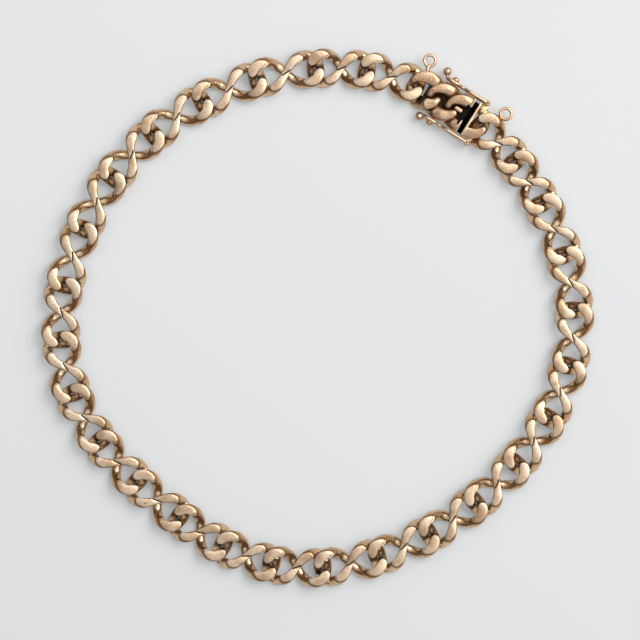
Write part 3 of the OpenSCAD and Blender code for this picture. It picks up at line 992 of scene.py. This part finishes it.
# %% [markdown]
# ## The two safety latches
#
# Each latch is one piece of wire, bent round a pin, pinched in the middle to a figure 8 that snaps over
# the stud, and closed at its end, where a ball gives a fingernail something to lift. A curve with a bevel
# could make the wire, too. Here a formula gives the pinched line, so a round section is simply swept
# along it, and both latches come from the same function.

# %% Latches
LATCH_HALF = 0.74
LATCH_WIRE = 0.2
LATCH_END = -4.45
LATCH_WAIST = -2.05
WAIST_REACH = 1.1
WAIST_HALF_GAP = 0.05
BALL_X = -4.86
BALL_RADIUS = 0.54
NECK_RADIUS = 0.19
EYE_PROFILE = [(0.26, -0.17), (0.33, -0.1), (0.33, 0.1), (0.26, 0.17)]
PIN_PROFILE = [
    (0.03, -0.96), (0.15, -0.96), (0.19, -0.92), (0.19, 0.92), (0.16, 0.96), (0.12, 0.96), (0.08, 0.86),
    (0.03, 0.84),
]


def latch_rail(x):
    pinched = WAIST_HALF_GAP + LATCH_WIRE
    spread = min(1, abs(x - LATCH_WAIST) / WAIST_REACH)
    return pinched + (LATCH_HALF - pinched) * math.sin(spread * math.pi / 2) ** 2


def safety_latch(name, side, hinge, bend):
    turn_start = LATCH_END + LATCH_HALF
    steps = [hinge.x + (turn_start - hinge.x) * step / 48 for step in range(48)]
    upper = [Vector((x, hinge.y, latch_rail(x))) for x in steps]
    closed_end = []
    for step in range(25):
        angle = math.pi * step / 24
        x = turn_start - LATCH_HALF * math.sin(angle)
        closed_end.append(Vector((x, hinge.y, LATCH_HALF * math.cos(angle))))
    lower = [Vector((point.x, point.y, -point.z)) for point in reversed(upper)]
    ball = Vector((BALL_X, hinge.y + side * bend, 0))
    neck = Vector((LATCH_END, hinge.y, 0))
    wire = swept(name, upper + closed_end + lower, LATCH_WIRE, Vector((0, 1, 0)))
    angles = [math.pi * (step + 0.4) / 18.8 for step in range(19)]
    parts = [
        turned(
            "ball", [(BALL_RADIUS * math.sin(a), -BALL_RADIUS * math.cos(a)) for a in angles], ball,
            (0, 0, 1)
        ),
        swept("neck", [neck, (neck + ball) / 2, ball], NECK_RADIUS, Vector((0, 0, 1))),
        turned("pin", PIN_PROFILE, (*hinge, 0), (0, 0, 1)),
    ]
    for level in (-LATCH_HALF, LATCH_HALF):
        parts.append(turned("eye", EYE_PROFILE, (*hinge, level), (0, 0, 1)))
    melted(wire, "UNION", parts)
    return settled(wire, name, name)


safety_latch("outer_latch", 1, OUTER_HINGE, 0.72)
safety_latch("inner_latch", -1, INNER_HINGE, 0.36)

# %% [markdown]
# ## The first link's eyelet
#
# The safety chain that once bridged the clasp was held by two eyelets, one on the box and one on the
# first link. The second one sits on one link alone, so it isn't part of the link's tree: it is
# turned like the first and melted into the finished link.

# %% Eyelet of the first link
eyelet_ring = eyelet((0, 0, 0))
eyelet_ring.data.transform(Matrix.Translation((LINK_EYELET.x * MM, LINK_EYELET.y * MM, 1.5 * MM)))
eyelet_ring.data.materials.append(CLASP_GOLD)
melted(links["link_01"], "UNION", [eyelet_ring])
outward(links["link_01"].data, 0.00000001)
print("first link", len(links["link_01"].data.polygons), "faces")

# %% [markdown]
# ## Floor and light
#
# A pale matte table and soft light from the upper right. Metal shows what stands round it, and a few lamps
# alone would leave it black with hard spots. So the world is a soft sky that sums three wide glows, and
# it is brighter on the right than on the left: that gives every ground face its pale right end. Lower
# down the room is dark, which draws a thin brown line wherever the metal turns away from the sky. The
# table has a weak glow of its own, so that it stays as even as paper in a light tent.

# %% Floor
FLOOR_GAP = 0.01 * MM
floor_mesh = bpy.data.meshes.new("floor")
floor_shape = bmesh.new()
bmesh.ops.create_grid(floor_shape, x_segments=4, y_segments=4, size=0.6)
floor_shape.to_mesh(floor_mesh)
floor_mesh.transform(Matrix.Translation((0, 0, -FLOOR_GAP)))
floor_shape.free()
floor = bpy.data.objects.new("floor", floor_mesh)
bpy.context.scene.collection.objects.link(floor)
floor_paint, paint_bench, floor_place = start_material("pale_table")
floor_x, floor_y, _ = paint_bench.parts(floor_place)
# Painted light: the table is painted a little lighter towards the upper right, where the light comes from.
floor_light_slope = floor_x * 0.5 + floor_y + noise(paint_bench, floor_place, 30, 2.0) * 0.01
table_colour = mixed(
    paint_bench, floor_light_slope.ramp(-0.06, 0.04), colour(193, 194, 194), colour(201, 202, 202)
)
table_shader = paint_bench.node(
    "ShaderNodeBsdfPrincipled", {},
    {
        "Base Color": table_colour, "Roughness": 0.9, "Specular IOR Level": 0.1,
        "Emission Color": table_colour, "Emission Strength": 0.36
    }
)
table_out = floor_paint.node_tree.nodes.new("ShaderNodeOutputMaterial")
floor_paint.node_tree.links.new(table_shader.socket, table_out.inputs["Surface"])
floor_mesh.materials.append(floor_paint)
print("floor", FLOOR_GAP, "m below the bracelet")


# %% Lights
def soft_light(name, place, size, power, tint):
    data = bpy.data.lights.new(name, "AREA")
    data.shape = "DISK"
    data.size = size
    data.energy = power
    data.color = tint
    light = bpy.data.objects.new(name, data)
    light.location = place
    light.rotation_euler = (-Vector(place)).to_track_quat("-Z", "Y").to_euler()
    bpy.context.scene.collection.objects.link(light)
    return light


soft_light("window", (0.3, 0.18, 0.46), 0.45, 1.2, (1.0, 0.97, 0.93))

world = bpy.data.worlds.new("studio")
bpy.context.scene.world = world
world.use_nodes = True
world.node_tree.nodes.clear()
sky = Bench(world.node_tree)
right, away, up = sky.parts(sky.node("ShaderNodeTexCoord", {}, {}, output=0))
lit = up * 0.86 + right * 0.32 + away * 0.1
key = right * 0.62 + away * 0.3 + up * 0.72
fill = away * 0.45 - right * 0.5 + up * 0.74
glow = lit.eased(0.15, 0.95) * 0.95 + key.eased(0.84, 0.97) * 1.5 + fill.eased(0.9, 0.98) * 0.5 + 0.2
glow = glow - up.eased(0.94, 0.995) * 0.3
tint = mixed(sky, up.eased(0.0, 0.9), colour(200, 205, 214), colour(236, 238, 240))
background = sky.node("ShaderNodeBackground", {}, {"Color": tint, "Strength": glow})
sky_out = world.node_tree.nodes.new("ShaderNodeOutputWorld")
world.node_tree.links.new(background.socket, sky_out.inputs["Surface"])
print("lights", [item.name for item in bpy.data.lights])
